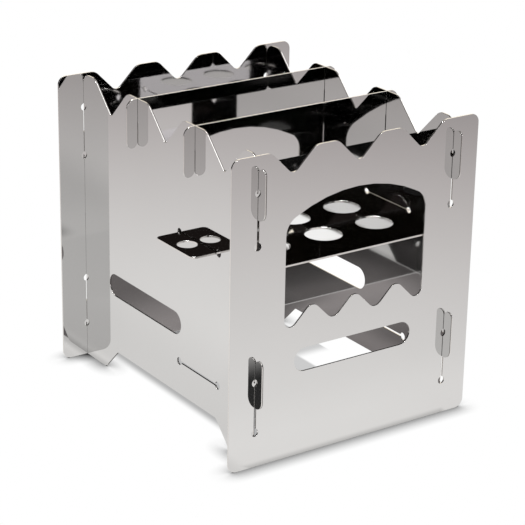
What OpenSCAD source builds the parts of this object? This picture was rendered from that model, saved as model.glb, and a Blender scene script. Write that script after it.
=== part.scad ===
/* [Sheet] */
// Thickness of the stainless sheet that every piece is cut from
sheet_t = 1; // [0.8:0.1:1.5]
// Width of the cut slots that a sheet stands in
slot_w = 1.4; // [1.3:0.1:2.2]
// Diameter of the relief holes at the ends of the slots
relief_d = 4.4; // [3.2:0.1:6]
// Running gap between two sheets that meet
fit_gap = 0.2; // [0.1:0.05:0.3]

/* [Front and back panel] */
// Width of the front and back panel
panel_w = 160; // [150:1:200]
// Height of all four walls
panel_h = 174; // [168:1:200]
// Clear depth between the front and the back panel
inner_d = 176.5; // [165:0.5:220]
// Radius of the four corners of a panel
corner_r = 5; // [1:0.5:7]
// Distance between two valleys of the crenellated top
valley_pitch = 42; // [38:0.2:46]
// Depth of those valleys, measured to the sharp corner
valley_depth = 14; // [9:0.2:15]
// Radius at the bottom of those valleys
valley_r = 4; // [1:0.1:5]
// Radius of the shoulders beside every valley
shoulder_r = 7; // [2:0.5:8]

/* [Hooked corners] */
// Distance from the edge of a panel to the middle of the side wall's slot
wall_inset = 16.6; // [14:0.2:22]
// Distance from the top or bottom of a panel to the nearest end hole
slot_end = 20; // [17:0.5:26]
// Length of a slot between its end holes
slot_len = 29; // [26:0.5:34]
// Height of the neck that joins a hook to its wall
neck_h = 14.1; // [12:0.1:14.4]
// Height of the free half of a hook
hook_free = 13.6; // [10:0.1:14.4]
// Width of the free half of a hook
hook_w = 6.1; // [4:0.1:9]
// Radius of the lower outer corner of a hook
hook_r = 5; // [1:0.5:6]

/* [Side walls] */
// Distance between two valleys on top of a side wall
wall_pitch = 57.8; // [54:0.1:60]
// Depth of the valleys of a side wall, measured to the sharp corner
wall_valley = 18; // [14:0.2:20]
// Radius at the bottom of those valleys
wall_valley_r = 2; // [0.5:0.5:4]
// Shift of those valleys and of the cross plates to the front
crest_shift = 0.4; // [0:0.2:3]
// Radius of the two upper corners of a side wall
wall_corner_r = 6; // [2:0.5:8]
// Length of a foot along the floor
foot_l = 22; // [16:0.5:30]
// Height of a foot
foot_h = 14; // [8:0.5:18]
// Radius of the tip and of the root of a foot
foot_r = 3; // [1:0.5:5]

/* [Draught openings] */
// Length of a long draught opening
draught_l = 77.6; // [60:0.2:90]
// Height of a long draught opening
draught_h = 13.5; // [8:0.5:18]
// Height of the middle of the draught openings above the floor
draught_z = 55.4; // [50:0.2:60]
// Shift of the side walls' draught opening to the rear
draught_shift = 22; // [10:0.5:28]

/* [Fire window] */
// Width of the window in the front panel
window_w = 91.6; // [80:0.2:100]
// Height of the strip above the crown of the window
window_head = 27.2; // [24:0.2:36]
// Radius of the arch over the window
arch_r = 85; // [80:1:140]
// Radius where the arch runs into the sides
arch_corner_r = 11; // [6:0.5:14]
// Middle height of the wavy sill
sill_z = 80.8; // [77:0.2:90]
// Length of one wave of the sill
wave_pitch = 27.8; // [25:0.2:30]
// Radius of the crests and troughs of the sill
wave_r = 5; // [3:0.5:6]
// Radius where the sill runs into the sides of the window
sill_corner_r = 4.2; // [2:0.2:6]

/* [Cross plates] */
// Width of the end lobes of a cross plate, outside the side walls
lobe_w = 6.6; // [5:0.1:14]
// Height of a cross plate
plate_h = 28; // [22:0.5:32]
// Distance between the two cross plates
plate_pitch = 58.4; // [56:0.2:60]
// Radius of the upper corners of a cross plate
plate_corner_r = 5; // [2:0.5:6]
// Radius of the lower corners between the walls
plate_inner_r = 3; // [1:0.5:5]

/* [Fire grate] */
// Height of the underside of the fire grate
grate_z = 109.6; // [104:0.2:120]
// Height of the middle of the lower pair of grate slots
low_slot_z = 33.8; // [30:0.2:40]
// Diameter of the air holes
air_d = 21; // [14:0.5:24]
// Number of air holes from left to right
air_columns = 3; // [1:1:3]
// Number of air holes from front to back
air_rows = 3; // [1:1:3]
// Distance between air holes from left to right
air_pitch_x = 34.5; // [30:0.5:38]
// Distance between air holes from front to back
air_pitch_y = 29.9; // [26:0.1:34]
// Distance from the front and rear edge of the grate to the nearest air hole
air_margin = 28.5; // [20:0.5:32]
// Radius of the corners of the grate
grate_r = 4; // [1:0.5:6]
// Width of the two tongues of the grate
tongue_w = 37; // [30:0.5:40]
// Distance from the front panel to the middle of the tongues
tongue_y = 53.9; // [48:0.1:60]
// How far the left tongue stands out of the side wall
tongue_out = 16; // [12:0.2:16]
// How far the right tongue stands out of the side wall
catch_out = 1; // [0.6:0.1:1.4]
// Radius of the outer corners of the left tongue
tongue_r = 3; // [1:0.5:6]
// Diameter of the finger hole in the left tongue
finger_d = 11.2; // [8:0.1:12.6]
// Distance from the side wall to the middle of the finger hole
finger_x = 7.3; // [7:0.1:8.4]

/* [Hidden] */

// Facets on a full circle, and straight bits on each rounded corner
$fn = 64;
corner_steps = 8;
// Overrun of cuts past the face that they open
overrun = 1;
// A right angle
quarter_deg = 90;

// Middle of the side walls and faces of the wall sheets
wall_x = panel_w / 2 - wall_inset;
wall_out_x = wall_x + sheet_t / 2;
wall_in_x = wall_x - sheet_t / 2;
// Half of the length of a side wall, just clear of both panels
wall_hy = inner_d / 2 - fit_gap / 2;
// Heights of the end holes of the upper and the lower hook slots
slot_tops = [panel_h - slot_end, slot_end + slot_len];
// Hooks: the gap that a panel hangs in, the full reach and the full height
hook_gap = fit_gap / 2 + sheet_t + fit_gap;
hook_reach = hook_gap + hook_w;
hook_h = neck_h + hook_free;
// Grate slots: middle height, middle depth and length between the end holes
grate_slot_z = grate_z + sheet_t / 2 + fit_gap / 2;
grate_slot_y = tongue_y - inner_d / 2;
grate_slot_l = tongue_w + slot_w + fit_gap;
// Depth of the notches by which plate and wall straddle each other
notch_h = plate_h / 2;
// Height of the crown of the window
window_top = panel_h - window_head;
// Grate between the side walls, with room on its left to pull the catch out
catch_travel = catch_out + sheet_t + fit_gap;
grate_x0 = fit_gap - wall_in_x + catch_travel;
grate_x1 = wall_in_x - fit_gap;
grate_y0 = fit_gap - inner_d / 2;
grate_l = 2 * air_margin + (air_rows - 1) * air_pitch_y;

// Unit vector along v
function unit(v) = v / norm(v);

// Points of the arc of radius r that rounds corner b between a and c
function rounded_corner(a, b, c, r) =
    let (
        u = unit([a.x - b.x, a.y - b.y]),
        v = unit([c.x - b.x, c.y - b.y]),
        half = acos(u * v) / 2,
        mid = [b.x, b.y] + unit(u + v) * r / sin(half),
        from = [b.x, b.y] + u * r / tan(half) - mid,
        to = [b.x, b.y] + v * r / tan(half) - mid,
        turn = atan2(from.x * to.y - from.y * to.x, from * to),
        start = atan2(from.y, from.x)
    )
    [for (i = [0 : corner_steps])
        let (angle = start + turn * i / corner_steps)
        mid + r * [cos(angle), sin(angle)]];

// Outline through corners given as x, y and radius
function rounded(corners) =
    let (n = len(corners))
    [for (i = [0 : n - 1])
        let (b = corners[i])
        each b.z == 0 ? [[b.x, b.y]]
            : rounded_corner(corners[(i + n - 1) % n], b, corners[(i + 1) % n], b.z)];

// Corners of one valley cut from right to left into a top edge at height h
function valley(x, h, depth, bottom_r) = [
    [x + depth, h, shoulder_r],
    [x, h - depth, bottom_r],
    [x - depth, h, shoulder_r]];

// Long hole with round ends, l long over all and h high
module oval(l, h) {
    square([l - h, h], center = true);
    for (side = [-1, 1])
        translate([side * (l - h) / 2, 0])
            circle(d = h);
}

// Slot of length l between two round relief holes
module relieved_slot(l) {
    square([l, slot_w], center = true);
    for (side = [-1, 1])
        translate([side * l / 2, 0])
            circle(d = relief_d);
}

// Sheet in the XZ plane, its front face at y
module sheet_across(y) {
    translate([0, y + sheet_t, 0])
        rotate([quarter_deg, 0, 0])
            linear_extrude(sheet_t)
                children();
}

// Sheet in the YZ plane, its middle at x
module sheet_along(x) {
    translate([x - sheet_t / 2, 0, 0])
        rotate([quarter_deg, 0, quarter_deg])
            linear_extrude(sheet_t)
                children();
}

// Sheet in the XY plane, its underside at z
module sheet_flat(z) {
    translate([0, 0, z])
        linear_extrude(sheet_t)
            children();
}

// Outline and hook slots that the front and the back panel share
module panel_blank() {
    half = panel_w / 2;
    difference() {
        polygon(rounded([
            [-half, 0, corner_r],
            [half, 0, corner_r],
            [half, panel_h, corner_r],
            each valley(valley_pitch, panel_h, valley_depth, valley_r),
            each valley(0, panel_h, valley_depth, valley_r),
            each valley(-valley_pitch, panel_h, valley_depth, valley_r),
            [-half, panel_h, corner_r]]));
        for (x = [-wall_x, wall_x], top = slot_tops)
            translate([x, top - slot_len / 2])
                rotate(quarter_deg)
                    relieved_slot(slot_len);
    }
}

// Points of an arc about a middle point, from one angle to another
function arc(mid, r, from, to) =
    [for (i = [0 : corner_steps])
        let (angle = from + (to - from) * i / corner_steps)
        mid + r * [cos(angle), sin(angle)]];

// Window with a flat arch above and a wavy sill below
module window_cut() {
    half = window_w / 2;
    rise = wave_pitch / 4;
    arch_mid = [0, window_top - arch_r];
    // Middle of the arc that leads from the arch into the right side
    turn_x = half - arch_corner_r;
    turn_z = arch_mid.y + sqrt(pow(arch_r - arch_corner_r, 2) - turn_x * turn_x);
    spring = atan2(turn_z - arch_mid.y, turn_x);
    foot_z = sill_z + rise - (half - wave_pitch);
    polygon([
        each rounded([
            [-half, turn_z, 0],
            [-half, foot_z, sill_corner_r],
            [-wave_pitch, sill_z + rise, wave_r],
            [-wave_pitch / 2, sill_z - rise, wave_r],
            [0, sill_z + rise, wave_r],
            [wave_pitch / 2, sill_z - rise, wave_r],
            [wave_pitch, sill_z + rise, wave_r],
            [half, foot_z, sill_corner_r],
            [half, turn_z, 0]]),
        each arc([turn_x, turn_z], arch_corner_r, 0, spring),
        each arc(arch_mid, arch_r, spring, 2 * quarter_deg - spring),
        each arc([-turn_x, turn_z], arch_corner_r, 2 * quarter_deg - spring, 2 * quarter_deg)]);
}

module front_panel() {
    color("gainsboro")
        sheet_across(-inner_d / 2 - sheet_t)
            difference() {
                panel_blank();
                window_cut();
                translate([0, draught_z])
                    oval(draught_l, draught_h);
            }
}

module back_panel() {
    color("silver")
        sheet_across(inner_d / 2)
            panel_blank();
}

// Hook that stands out to the left of a wall's edge and points up
module hook() {
    top_r = hook_w / 2 - fit_gap;
    polygon(rounded([
        [overrun, 0, 0],
        [overrun, neck_h, 0],
        [-hook_gap, neck_h, 0],
        [-hook_gap, hook_h, top_r],
        [-hook_reach, hook_h, top_r],
        [-hook_reach, 0, hook_r]]));
}

// Side wall seen from the right, its front edge to the left
module wall_outline() {
    difference() {
        union() {
            polygon(rounded([
                [wall_hy, 0, 0],
                [wall_hy, panel_h, wall_corner_r],
                each valley(wall_pitch - crest_shift, panel_h, wall_valley, wall_valley_r),
                each valley(-crest_shift, panel_h, wall_valley, wall_valley_r),
                each valley(-wall_pitch - crest_shift, panel_h, wall_valley, wall_valley_r),
                [-wall_hy, panel_h, wall_corner_r],
                [-wall_hy, 0, 0],
                [foot_l - wall_hy, 0, foot_r],
                [foot_l + foot_h - wall_hy, foot_h, foot_r],
                [wall_hy - foot_l - foot_h, foot_h, foot_r],
                [wall_hy - foot_l, 0, foot_r]]));
            for (top = slot_tops) {
                translate([-wall_hy, top - neck_h - fit_gap])
                    hook();
                translate([wall_hy, top - slot_len + neck_h + fit_gap])
                    rotate(2 * quarter_deg)
                        hook();
            }
        }
        translate([draught_shift, draught_z])
            oval(draught_l, draught_h);
        for (z = [low_slot_z, grate_slot_z])
            translate([grate_slot_y, z])
                relieved_slot(grate_slot_l);
        for (side = [-1, 1])
            translate([side * plate_pitch / 2 - crest_shift, panel_h + (overrun - notch_h) / 2])
                square([slot_w, notch_h + overrun], center = true);
    }
}

module left_side_wall() {
    color("lightgray")
        sheet_along(-wall_x)
            wall_outline();
}

module right_side_wall() {
    color("lightgray")
        sheet_along(wall_x)
            wall_outline();
}

// Cross plate whose notches straddle the side walls and leave a lobe outside each
module cross_plate(y) {
    inner = wall_x - slot_w / 2;
    outer = wall_x + slot_w / 2;
    half = outer + lobe_w;
    low = panel_h - plate_h;
    lobe_r = (lobe_w - fit_gap) / 2;
    notch_top = low + notch_h + fit_gap;
    sheet_across(y - sheet_t / 2)
        polygon(rounded([
            [-inner, low, plate_inner_r],
            [inner, low, plate_inner_r],
            [inner, notch_top, 0],
            [outer, notch_top, 0],
            [outer, low, lobe_r],
            [half, low, lobe_r],
            [half, panel_h, plate_corner_r],
            [-half, panel_h, plate_corner_r],
            [-half, low, lobe_r],
            [-outer, low, lobe_r],
            [-outer, notch_top, 0],
            [-inner, notch_top, 0]]));
}

module rear_cross_plate() {
    color("darkgray")
        cross_plate(plate_pitch / 2 - crest_shift);
}

module front_cross_plate() {
    color("darkgray")
        cross_plate(-plate_pitch / 2 - crest_shift);
}

module fire_grate() {
    tongue_y0 = grate_slot_y - tongue_w / 2;
    tongue_y1 = grate_slot_y + tongue_w / 2;
    tongue_x0 = -wall_out_x - tongue_out;
    catch_x1 = wall_out_x + catch_out;
    color("dimgray")
        sheet_flat(grate_z)
            difference() {
                polygon(rounded([
                    [grate_x0, grate_y0, grate_r],
                    [grate_x1, grate_y0, grate_r],
                    [grate_x1, tongue_y0, 0],
                    [catch_x1, tongue_y0, 0],
                    [catch_x1, tongue_y1, 0],
                    [grate_x1, tongue_y1, 0],
                    [grate_x1, grate_y0 + grate_l, grate_r],
                    [grate_x0, grate_y0 + grate_l, grate_r],
                    [grate_x0, tongue_y1, 0],
                    [tongue_x0, tongue_y1, tongue_r],
                    [tongue_x0, tongue_y0, tongue_r],
                    [grate_x0, tongue_y0, 0]]));
                for (i = [0 : air_columns - 1], j = [0 : air_rows - 1])
                    translate([(i - (air_columns - 1) / 2) * air_pitch_x,
                               grate_y0 + air_margin + j * air_pitch_y])
                        circle(d = air_d);
                translate([-wall_out_x - finger_x, grate_slot_y])
                    circle(d = finger_d);
            }
}

front_panel();
back_panel();
left_side_wall();
right_side_wall();
rear_cross_plate();
front_cross_plate();
fire_grate();
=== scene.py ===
import math

import bmesh
import bpy
from mathutils import Matrix, Vector

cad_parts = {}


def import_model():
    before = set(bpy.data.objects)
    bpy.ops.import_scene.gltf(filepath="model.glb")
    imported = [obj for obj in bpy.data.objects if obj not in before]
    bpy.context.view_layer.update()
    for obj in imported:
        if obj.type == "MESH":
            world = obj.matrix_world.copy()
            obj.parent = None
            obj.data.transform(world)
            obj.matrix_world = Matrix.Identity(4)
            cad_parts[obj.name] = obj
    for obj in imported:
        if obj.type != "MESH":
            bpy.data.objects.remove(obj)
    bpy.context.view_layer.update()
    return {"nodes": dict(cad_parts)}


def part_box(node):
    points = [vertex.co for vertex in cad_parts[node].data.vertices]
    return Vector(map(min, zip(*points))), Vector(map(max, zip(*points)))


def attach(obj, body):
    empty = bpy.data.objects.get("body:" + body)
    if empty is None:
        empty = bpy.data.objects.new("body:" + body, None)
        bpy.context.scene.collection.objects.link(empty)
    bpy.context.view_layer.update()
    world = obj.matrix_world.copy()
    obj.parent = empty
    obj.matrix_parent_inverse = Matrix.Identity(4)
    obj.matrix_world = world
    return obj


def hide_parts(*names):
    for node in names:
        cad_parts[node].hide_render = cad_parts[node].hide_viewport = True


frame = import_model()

MM = 0.001


def mm(*lengths):
    """Lengths or places in millimetres, as metres."""
    return [length * MM for length in lengths]


# How each sheet lies in the stove: its node, the body it moves with, a material name that the script does
# not use, and the axis across its thickness
SHEETS = {
    "front_panel": ("front", "panel_steel", "y"),
    "back_panel": ("rear", "panel_steel", "y"),
    "left_side_wall": ("walls", "wall_steel", "x"),
    "right_side_wall": ("walls", "wall_steel", "x"),
    "rear_cross_plate": ("rear_plate", "cross_plate_steel", "y"),
    "front_cross_plate": ("front_plate", "cross_plate_steel", "y"),
    "fire_grate": ("grate", "grate_steel", "z"),
}
AXES = {"x": (1, 0, 0), "y": (0, 1, 0), "z": (0, 0, 1)}
# Axis along which a sheet was rolled, by the axis across its thickness
ROLLED_ALONG = {"x": "y", "y": "x", "z": "x"}

# Colours of the bright rolled face, of the cut edge and of its torn side, as linear values
FACE_RGB = (0.656, 0.654, 0.651)
EDGE_RGB = (0.74, 0.72, 0.70)
TORN_RGB = (0.08, 0.072, 0.068)
# Darkest and brightest clouds on a face, as shares of its colour
CLOUD_DARK = 0.985
CLOUD_BRIGHT = 1.01
# How far the normal keeps to the sheet's axis: less than the first is cut edge, more than the second face
EDGE_TURN = (0.55, 0.9)
# Width over which a cut edge gets torn, from its middle
TORN_WIDTH = 0.12 * MM
# Sizes of the noises: grain across and along the rolling direction, clouds, waves, and striae of an edge
GRAIN_WIDTH = 0.16 * MM
GRAIN_LENGTH = 14 * MM
CLOUD_SIZE = 38 * MM
WAVE_SIZE = 70 * MM
STRIAE_SIZE = 0.22 * MM
FINE_DETAIL = 3.0
WAVE_DETAIL = 1.0
WAVE_SOFTNESS = 0.3
# Roughness of a face, with what clouds and grain add, and of an edge, with what striae and tearing add
FACE_ROUGH = 0.02
CLOUD_ROUGH = 0.01
GRAIN_ROUGH = 0.02
EDGE_ROUGH = 0.12
STRIAE_ROUGH = 0.14
TORN_ROUGH = 0.2
# Heights of the relief, in millimetres
WAVE_HEIGHT = 0.004
GRAIN_HEIGHT = 0.00004
STRIAE_HEIGHT = 0.02
# What an edge lacks of full metal
EDGE_DULL = 0.03

# Broken edge of a cut sheet
EDGE_BREAK = 0.08 * MM
PLATE_EDGE_BREAK = 0.2 * MM
EDGE_BREAK_STEPS = 3
SHARP_DEG = 30
# Corners closer than this are one, and faces that turn less than this are one flat face
SAME_CORNER = 0.002 * MM
FLAT_DEG = 0.5
# Weight of large faces in the normals, at its highest
FACE_WEIGHT = 100

# The view of the photograph: where the camera looks, from which side and how far
LOOK_AT = mm(-16.0, -25.3, 86.0)
AZIMUTH = -34.78
ELEVATION = 21.12
ROLL = 1.07
DISTANCE = 1093.8 * MM
LENS = 135.33
SENSOR = 36.0

# The studio: a pale floor and one soft lamp above the stove
FLOOR_SIZE = 12.0
FLOOR_GREY = 0.8
LAMP_FOOT = mm(-59, -12)
LAMP_HEIGHT = 1.084
LAMP_SIZE = 0.36
LAMP_POWER = 14.0
WHITE_RGB = (1.0, 1.0, 1.0)

# Mirror images of mirror images get dark past this many bounces
MIRROR_BOUNCES = 3
# Share of the laws below in the floor that a glossy ray meets. The rest is paint in lamplight
MIRRORED_SHARE = 0.95

# Open floor as the sheets mirror it, straight below the lamp and far from it. The tint goes over from
# far to near with the lamp's light
OPEN_LEVEL = 1.045
NEAR_RGB = (1.0, 0.988, 0.972)
FAR_RGB = (1.0, 0.922, 0.914)
TINT_LIGHT = (0.45, 1.05)
# Past a sheet's outer face by these distances a place goes over from inside to outside, and from close to
# clear. Close to the sheets the floor has this share of its light
OUTSIDE_PAST = mm(-2, -1)
CLEAR_PAST = mm(0, 6)
CLOSE_SHARE = 0.7
# Where the open floor is dimmer, beside the left wall, and by how much. Four values say where such a place
# begins, is full, starts to end and ends, and two values where it sets in or ends
DIM_SHARE = 0.12
BESIDE_X = mm(-262, -205, -75, -64)
DIM_X = mm(-160, -90)
DIM_FRONT_Y = mm(-330, -230)
DIM_REAR_Y = mm(0, 60)
# Where it is brighter, close before the front panel and at the left front corner, and by how much
BEFORE_SHARE = 0.05
BEFORE_Y = mm(-170, -110, -92, -88)
CORNER_SHARE = 0.1
CORNER_X = mm(-270, -205)
CORNER_Y = mm(-160, -60)
# Place at the left front that goes dark in mirror images of mirror images
NEAR_CORNER_X = mm(-165, -140, -70, -60)
NEAR_CORNER_Y = mm(-230, -180, -110, -90)
# Share of its light that the floor away from the side walls keeps after many bounces
FAR_SHARE = 0.15
FAR_PAST = mm(20, 70)

# Painted shade of the floor inside the stove, as the sheets mirror it: its light level under the grate and
# at the rear
UNDER_LEVEL = 0.17
REAR_LEVEL = 0.33
REAR_Y = mm(10, 85)
# Shade at the side walls, and at the rear right in the first mirror image
SIDE_SHADE = 0.5
SIDE_X = mm(25, 62)
REAR_SHADE = 0.4
REAR_SHADE_X = mm(-5, 35)
REAR_SHADE_Y = mm(70, 88)
# Light that falls in at the front right
RIGHT_GLOW = 0.13
GLOW_X = mm(15, 38)
GLOW_Y = mm(20, 40)
# What each further mirror bounce leaves of that light, in most places and where the floor is brightest
INNER_FADE = 0.27
BRIGHT_FADE = 0.57
BRIGHT_X = mm(-40, -20)
BRIGHT_Y = mm(50, 85)
# In mirror images of mirror images the front right is dark, and the window's light falls on the left
RIGHT_X = mm(-20, -11)
DEEP_LEVEL = 0.01
DEEP_Y = mm(-25, 0)
LEFT_LEVEL = 2.1
LEFT_Y = mm(-75, -55, 5, 20)
SHADE_RGB = (1.0, 0.912, 0.905)

# Floor as the camera sees it: reach and depth of the shadow at the sheets
CONTACT_REACH = 12 * MM
CONTACT_DEPTH = 1.4
CONTACT_SAMPLES = 16
# Depth of the shade inside, close to the left wall and further in, and the strip that stays lit
WALL_DEPTH = 0.55
SHELTER_DEPTH = 0.4
SHELTER_X = mm(-55.7, -48.5)
SHELTER_CHANGE_X = mm(-30, -10)
LIT_X = mm(40, 42.5)
LIT_Y = mm(13, 24)

# Surroundings that the sheets mirror, as linear values, and between which directions each one fades.
# A direction's side, depth and height go from -1 to 1
DARK_RGB = (0.004, 0.003, 0.002)
BEHIND_RGB = (0.018, 0.014, 0.013)
BEHIND_DEPTH = (-0.1, 0.1)
FRONT_RGB = (1.14, 1.09, 1.12)
FRONT_HEIGHT = (0.302, 0.314)
FRONT_DEPTH = (-0.5, -0.3)
BACKDROP_RGB = (1.3, 1.2, 1.02)
BACKDROP_SIDE = (0, 0.2)
BACKDROP_DEPTH = (0, 0.3)
BACKDROP_HEIGHT = (0.56, 0.66)
CEILING_RGB = (0.3, 0.29, 0.28)
CEILING_HEIGHT = (0.68, 0.80)
TUBE_RGB = (2.2, 2.2, 2.2)
TUBE_SIDE = (0.2, 0.4)
TUBE_DEPTH = -0.36
TUBE_HEIGHT = 0.75
# Distances from the tube's middle are taken this many times in depth and in height, and fade between these
TUBE_DEPTH_SCALE = 4
TUBE_HEIGHT_SCALE = 7
TUBE_FADE = (0.5, 1)
# Light from all round on rough surfaces
AMBIENT = 0.12


class Link:
    """A shader value. Sums, products and the like on it add Math nodes."""

    def __init__(self, tree, socket):
        self.tree = tree
        self.socket = socket

    def maths(self, operation, *others):
        node = self.tree.nodes.new("ShaderNodeMath")
        node.operation = operation
        for socket, value in zip(node.inputs, (self, *others)):
            put(self.tree, socket, value)
        return Link(self.tree, node.outputs[0])

    def flipped(self, operation, other):
        node = self.tree.nodes.new("ShaderNodeMath")
        node.operation = operation
        put(self.tree, node.inputs[0], other)
        put(self.tree, node.inputs[1], self)
        return Link(self.tree, node.outputs[0])

    def __add__(self, other):
        return self.maths("ADD", other)

    __radd__ = __add__

    def __mul__(self, other):
        return self.maths("MULTIPLY", other)

    __rmul__ = __mul__

    def __sub__(self, other):
        return self.maths("SUBTRACT", other)

    def __rsub__(self, other):
        return self.flipped("SUBTRACT", other)

    def __truediv__(self, other):
        return self.maths("DIVIDE", other)

    def __rtruediv__(self, other):
        return self.flipped("DIVIDE", other)

    def __pow__(self, other):
        return self.maths("POWER", other)

    def __abs__(self):
        return self.maths("ABSOLUTE")

    def larger(self, other):
        return self.maths("MAXIMUM", other)

    def smoothstep(self, low, high):
        """0 below low, 1 above high, and a smooth step between them."""
        node = self.tree.nodes.new("ShaderNodeMapRange")
        node.interpolation_type = "SMOOTHSTEP"
        for name, value in {"Value": self, "From Min": low, "From Max": high}.items():
            put(self.tree, node.inputs[name], value)
        return Link(self.tree, node.outputs["Result"])

    def below(self, low, high):
        """1 below low, 0 above high."""
        return 1 - self.smoothstep(low, high)

    def between(self, start, full, full_end, end):
        """1 between full and full_end, 0 before start and after end."""
        return self.smoothstep(start, full) * self.below(full_end, end)

    def past(self, count):
        """For a whole number: 1 when it is past count, else 0."""
        return self.smoothstep(count, count + 1)


def put(tree, socket, value):
    """Sets a socket, or links it when the value is a Link."""
    if isinstance(value, Link):
        tree.links.new(value.socket, socket)
    else:
        socket.default_value = value


class Shader:
    """The node tree of one material or of the world."""

    def __init__(self, tree):
        self.tree = tree
        tree.nodes.clear()

    def node(self, kind, settings=None, **sockets):
        """A node of that type. Settings are set first, then sockets by name, with _ for a space."""
        made = self.tree.nodes.new("ShaderNode" + kind)
        for name, value in (settings or {}).items():
            setattr(made, name, value)
        for name, value in sockets.items():
            put(self.tree, self.socket(made, name), value)
        return made

    def socket(self, made, name):
        """An input by its name, or by its place when the name is like in0."""
        if name.startswith("in") and name[2:].isdigit():
            return made.inputs[int(name[2:])]
        return made.inputs[name.replace("_", " ")]

    def out(self, kind, output=0, settings=None, **sockets):
        """The output of a new node, as a Link."""
        return Link(self.tree, self.node(kind, settings, **sockets).outputs[output])

    def links(self, made, *names):
        """Outputs of a node, by name or place, as Links."""
        return [Link(self.tree, made.outputs[name]) for name in names]

    def mix_colour(self, mask, first, second):
        """Inputs 6 and 7 and output 2 of a Mix node are its colours."""
        made = self.node("Mix", {"data_type": "RGBA"}, in0=mask, in6=first, in7=second)
        return Link(self.tree, made.outputs[2])

    def noise(self, place, size, detail=2.0, roughness=0.5):
        """Noise from 0 to 1 whose lumps are as long as size, a vector in metres."""
        scaled = self.out("VectorMath", settings={"operation": "MULTIPLY"},
                          in0=place, in1=[1 / s for s in size])
        return self.out("TexNoise", Vector=scaled, Scale=1.0, Detail=detail, Roughness=roughness)


def rgba(rgb, share=1.0):
    """That share of a colour, as an opaque one."""
    return (*(value * share for value in rgb), 1.0)


def steel(name, axis, grain, middle, torn_side):
    """Bright rolled sheet: mirror-like faces with a fine grain, and cut edges where the normal leaves
    the sheet's axis. A torn side of 1 or -1 makes the edge torn and dark on that side of its middle,
    and 0 leaves it clean."""
    material = bpy.data.materials.new(name)
    material.use_nodes = True
    s = Shader(material.node_tree)
    place = s.out("TexCoord", "Object")
    normal = s.out("TexCoord", "Normal")
    along = s.out("VectorMath", "Value", {"operation": "DOT_PRODUCT"}, in0=normal, in1=AXES[axis])
    edge = abs(along).below(*EDGE_TURN)

    # Grain is long along the rolling direction and fine across it
    grain_size = [GRAIN_WIDTH] * 3
    grain_size["xyz".index(grain)] = GRAIN_LENGTH
    fine = s.noise(place, grain_size, FINE_DETAIL)
    cloud = s.noise(place, [CLOUD_SIZE] * 3, FINE_DETAIL)
    wave = s.noise(place, [WAVE_SIZE] * 3, WAVE_DETAIL, WAVE_SOFTNESS)
    striae = s.noise(place, [STRIAE_SIZE] * 3)
    through = s.links(s.node("SeparateXYZ", Vector=place), "xyz".index(axis))[0]
    torn = ((through - middle) * torn_side).smoothstep(0, TORN_WIDTH)

    face_colour = s.mix_colour(cloud, rgba(FACE_RGB, CLOUD_DARK), rgba(FACE_RGB, CLOUD_BRIGHT))
    edge_colour = s.mix_colour(torn, rgba(EDGE_RGB), rgba(TORN_RGB))
    face_rough = FACE_ROUGH + CLOUD_ROUGH * cloud + GRAIN_ROUGH * fine
    edge_rough = EDGE_ROUGH + STRIAE_ROUGH * striae + TORN_ROUGH * torn
    face_relief = wave * WAVE_HEIGHT + fine * GRAIN_HEIGHT
    relief = face_relief * (1 - edge) + striae * edge * STRIAE_HEIGHT
    shader = s.out("BsdfPrincipled",
                   Base_Color=s.mix_colour(edge, face_colour, edge_colour),
                   Metallic=1 - EDGE_DULL * edge,
                   Roughness=face_rough + (edge_rough - face_rough) * edge,
                   Normal=s.out("Bump", Strength=1.0, Distance=MM, Height=relief))
    s.node("OutputMaterial", Surface=shader)
    return material


def broken_edges(node):
    """The node's sheet as one clean shell: doubles merged, flat faces joined, and each cut edge
    broken by a small bevel."""
    mesh = frame["nodes"][node].data.copy()
    mesh.materials.clear()
    shell = bmesh.new()
    shell.from_mesh(mesh)
    bmesh.ops.remove_doubles(shell, verts=shell.verts, dist=SAME_CORNER)
    bmesh.ops.dissolve_limit(shell, angle_limit=math.radians(FLAT_DEG),
                             verts=shell.verts, edges=shell.edges)
    shell.to_mesh(mesh)
    shell.free()
    mesh.shade_smooth()
    piece = bpy.data.objects.new(node + "_sheet", mesh)
    bpy.context.scene.collection.objects.link(piece)
    bevel = piece.modifiers.new("broken_edge", "BEVEL")
    bevel.width = PLATE_EDGE_BREAK if "plate" in node else EDGE_BREAK
    bevel.segments = EDGE_BREAK_STEPS
    bevel.limit_method = "ANGLE"
    bevel.angle_limit = math.radians(SHARP_DEG)
    flat = piece.modifiers.new("flat_faces", "WEIGHTED_NORMAL")
    flat.mode = "FACE_AREA"
    flat.weight = FACE_WEIGHT
    return piece


def sheets():
    """Every sheet of the stove, on the body that carries it."""
    for node, (body, slot, axis) in SHEETS.items():
        low, high = (corner["xyz".index(axis)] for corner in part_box(node))
        middle = (low + high) / 2
        # The side walls were cut from outside, so their edges are torn on the inner side
        torn_side = (1 if middle < 0 else -1) if "wall" in node else 0
        piece = broken_edges(node)
        piece.data.materials.append(steel(node + "_steel", axis, ROLLED_ALONG[axis], middle, torn_side))
        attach(piece, body)
        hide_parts(node)


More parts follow.
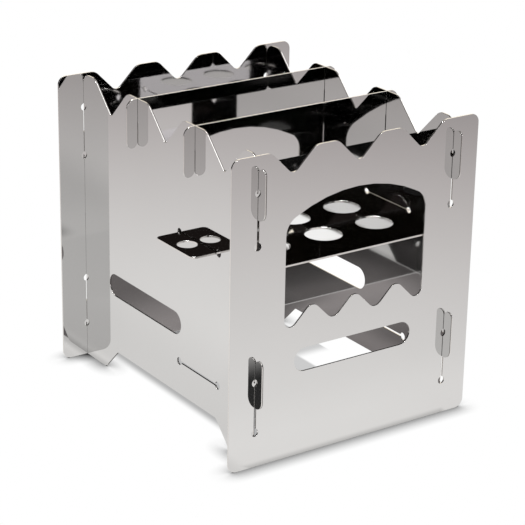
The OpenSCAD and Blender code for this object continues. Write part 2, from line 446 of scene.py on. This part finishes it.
def open_floor_light(s, x, y, clear):
    """Level and tint of the open floor that the sheets mirror."""
    far = ((x - LAMP_FOOT[0]) ** 2 + (y - LAMP_FOOT[1]) ** 2) / LAMP_HEIGHT ** 2
    # What the lamp gives an open floor, by the fourth power of the cosine
    open_light = 1 / (far + 1) ** 2
    dim = x.between(*BESIDE_X) * x.smoothstep(*DIM_X).larger(y.below(*DIM_REAR_Y))
    dim = dim * y.smoothstep(*DIM_FRONT_Y)
    before = y.between(*BEFORE_Y)
    corner = x.below(*CORNER_X) * y.below(*CORNER_Y)
    level = open_light * OPEN_LEVEL * (1 - DIM_SHARE * dim + BEFORE_SHARE * before + CORNER_SHARE * corner)
    tint = s.mix_colour(open_light.smoothstep(*TINT_LIGHT), rgba(FAR_RGB), rgba(NEAR_RGB))
    return level * (CLOSE_SHARE + (1 - CLOSE_SHARE) * clear), tint


def inner_floor_light(s, x, y, bounces):
    """Painted light level and tint of the shaded floor inside the stove that the sheets mirror."""
    again = bounces.past(1)
    level = UNDER_LEVEL + (REAR_LEVEL - UNDER_LEVEL) * y.smoothstep(*REAR_Y)
    level = level * (1 - SIDE_SHADE * abs(x).smoothstep(*SIDE_X))
    rear_right = y.smoothstep(*REAR_SHADE_Y) * x.smoothstep(*REAR_SHADE_X)
    level = level * (1 - REAR_SHADE * rear_right * (1 - again))
    level = level + RIGHT_GLOW * x.smoothstep(*GLOW_X) * y.below(*GLOW_Y)
    bright = y.smoothstep(*BRIGHT_Y).larger(x.below(*BRIGHT_X))
    fade = INNER_FADE + (BRIGHT_FADE - INNER_FADE) * bright
    level = level * fade ** (bounces - 1)
    right = x.smoothstep(*RIGHT_X)
    level = level + (DEEP_LEVEL - level) * y.below(*DEEP_Y) * right * again
    window_light = y.between(*LEFT_Y) * (1 - right) * again * (1 - bounces.past(MIRROR_BOUNCES))
    level = level + (LEFT_LEVEL - level) * window_light
    return level, s.mix_colour(window_light, rgba(SHADE_RGB), rgba(WHITE_RGB))


def floor():
    """Pale floor. Mirror images show it by simple laws of place and bounces, which paint the lamp's pool of
    light and the shade in and around the stove, and the camera sees it white, with a painted soft shadow at
    the sheets and in the stove."""
    half = FLOOR_SIZE / 2
    corners = [(-half, -half, 0), (half, -half, 0), (half, half, 0), (-half, half, 0)]
    mesh = bpy.data.meshes.new("floor")
    mesh.from_pydata(corners, [], [(0, 1, 2, 3)])
    plane = bpy.data.objects.new("floor", mesh)
    bpy.context.scene.collection.objects.link(plane)
    material = bpy.data.materials.new("floor_paint")
    material.use_nodes = True
    s = Shader(material.node_tree)
    x, y = s.links(s.node("SeparateXYZ", Vector=s.out("TexCoord", "Object")), 0, 1)
    camera, glossy, bounces = s.links(s.node("LightPath"), "Is Camera Ray", "Is Glossy Ray", "Glossy Depth")

    # How far a place lies past the outer faces of the side walls and of the panels
    past_wall = abs(x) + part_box("left_side_wall")[0][0]
    past_panel = abs(y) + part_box("front_panel")[0][1]
    outside = past_wall.smoothstep(*OUTSIDE_PAST).larger(past_panel.smoothstep(*OUTSIDE_PAST))
    clear = past_wall.smoothstep(*CLEAR_PAST).larger(past_panel.smoothstep(*CLEAR_PAST))

    open_level, open_tint = open_floor_light(s, x, y, clear)
    near_corner = x.between(*NEAR_CORNER_X) * y.between(*NEAR_CORNER_Y)
    # Painted shade: past a few mirror bounces the floor goes dark, keeping a little light away from the
    # side walls, and the left front corner goes dark after one bounce
    bounce_shade = bounces.past(MIRROR_BOUNCES) * (1 - FAR_SHARE * past_wall.smoothstep(*FAR_PAST))
    open_level = open_level * (1 - bounce_shade.larger(near_corner * bounces.past(1)))
    open_floor = s.out("Emission", Color=open_tint, Strength=open_level)
    inner_level, inner_tint = inner_floor_light(s, x, y, bounces)
    inner_floor = s.out("Emission", Color=inner_tint, Strength=inner_level)
    mirrored = s.out("MixShader", in0=outside, in1=inner_floor, in2=open_floor)
    paint = s.out("BsdfDiffuse", Color=rgba([FLOOR_GREY] * 3))
    unseen = s.out("MixShader", in0=glossy * MIRRORED_SHARE, in1=paint, in2=mirrored)

    contact = s.out("AmbientOcclusion", "AO", {"samples": CONTACT_SAMPLES}, Distance=CONTACT_REACH)
    lit_strip = x.smoothstep(*LIT_X) * y.below(*LIT_Y)
    sheltered = (1 - outside) * (1 - lit_strip) * x.smoothstep(*SHELTER_X)
    sheltered = sheltered * (WALL_DEPTH + (SHELTER_DEPTH - WALL_DEPTH) * x.smoothstep(*SHELTER_CHANGE_X))
    white = s.out("Emission", Color=rgba(WHITE_RGB),
                  Strength=(1 - CONTACT_DEPTH + CONTACT_DEPTH * contact) * (1 - sheltered))
    s.node("OutputMaterial", Surface=s.out("MixShader", in0=camera, in1=unseen, in2=white))
    mesh.materials.append(material)


def world():
    """White to the camera, soft light on rough surfaces, and for reflections a grey ceiling with a
    bright tube at its right front, a bright screen low in front, a backdrop at the rear right and
    darkness else."""
    studio = bpy.data.worlds.new("studio")
    studio.use_nodes = True
    bpy.context.scene.world = studio
    s = Shader(studio.node_tree)
    up = s.node("SeparateXYZ", Vector=s.out("TexCoord", "Generated"))
    side, depth, height = s.links(up, "X", "Y", "Z")
    camera, glossy, bounces = s.links(s.node("LightPath"), "Is Camera Ray", "Is Glossy Ray", "Glossy Depth")
    front = height.below(*FRONT_HEIGHT) * depth.below(*FRONT_DEPTH) * (1 - bounces.past(MIRROR_BOUNCES))
    backdrop = side.smoothstep(*BACKDROP_SIDE) * depth.smoothstep(*BACKDROP_DEPTH)
    backdrop = backdrop * height.below(*BACKDROP_HEIGHT) * (1 - bounces.past(1))
    from_tube = (abs(depth - TUBE_DEPTH) * TUBE_DEPTH_SCALE).larger(
        abs(height - TUBE_HEIGHT) * TUBE_HEIGHT_SCALE)
    tube = from_tube.below(*TUBE_FADE) * side.smoothstep(*TUBE_SIDE)

    room = s.mix_colour(depth.smoothstep(*BEHIND_DEPTH), rgba(DARK_RGB), rgba(BEHIND_RGB))
    room = s.mix_colour(front, room, rgba(FRONT_RGB))
    room = s.mix_colour(backdrop, room, rgba(BACKDROP_RGB))
    room = s.mix_colour(height.smoothstep(*CEILING_HEIGHT), room, rgba(CEILING_RGB))
    room = s.mix_colour(tube, room, rgba(TUBE_RGB))
    unseen = s.mix_colour(glossy, rgba([AMBIENT] * 3), room)
    colour = s.mix_colour(camera, unseen, rgba(WHITE_RGB))
    s.node("OutputWorld", Surface=s.out("Background", Color=colour, Strength=1.0))


def lamp():
    """Soft square lamp straight above the stove."""
    light = bpy.data.lights.new("soft_lamp", "AREA")
    light.size = LAMP_SIZE
    light.energy = LAMP_POWER
    bulb = bpy.data.objects.new("soft_lamp", light)
    bulb.location = (*LAMP_FOOT, LAMP_HEIGHT)
    bulb.visible_camera = False
    bpy.context.scene.collection.objects.link(bulb)


def camera():
    """Camera on the photograph's line of sight, turned by its roll."""
    azimuth, elevation = math.radians(AZIMUTH), math.radians(ELEVATION)
    back = Vector((math.sin(azimuth) * math.cos(elevation),
                   -math.cos(azimuth) * math.cos(elevation), math.sin(elevation)))
    right = (-back).cross(Vector((0, 0, 1))).normalized()
    up = right.cross(-back)
    roll = math.radians(ROLL)
    turned_right = right * math.cos(roll) + up * math.sin(roll)
    turned_up = up * math.cos(roll) - right * math.sin(roll)
    data = bpy.data.cameras.new("camera")
    data.lens = LENS
    data.sensor_width = SENSOR
    view = bpy.data.objects.new("camera", data)
    turn = Matrix((turned_right, turned_up, back)).transposed()
    view.matrix_world = Matrix.Translation(Vector(LOOK_AT) + back * DISTANCE) @ turn.to_4x4()
    bpy.context.scene.collection.objects.link(view)
    bpy.context.scene.camera = view


camera()
sheets()
floor()
world()
lamp()
bpy.context.scene.view_settings.view_transform = "Standard"
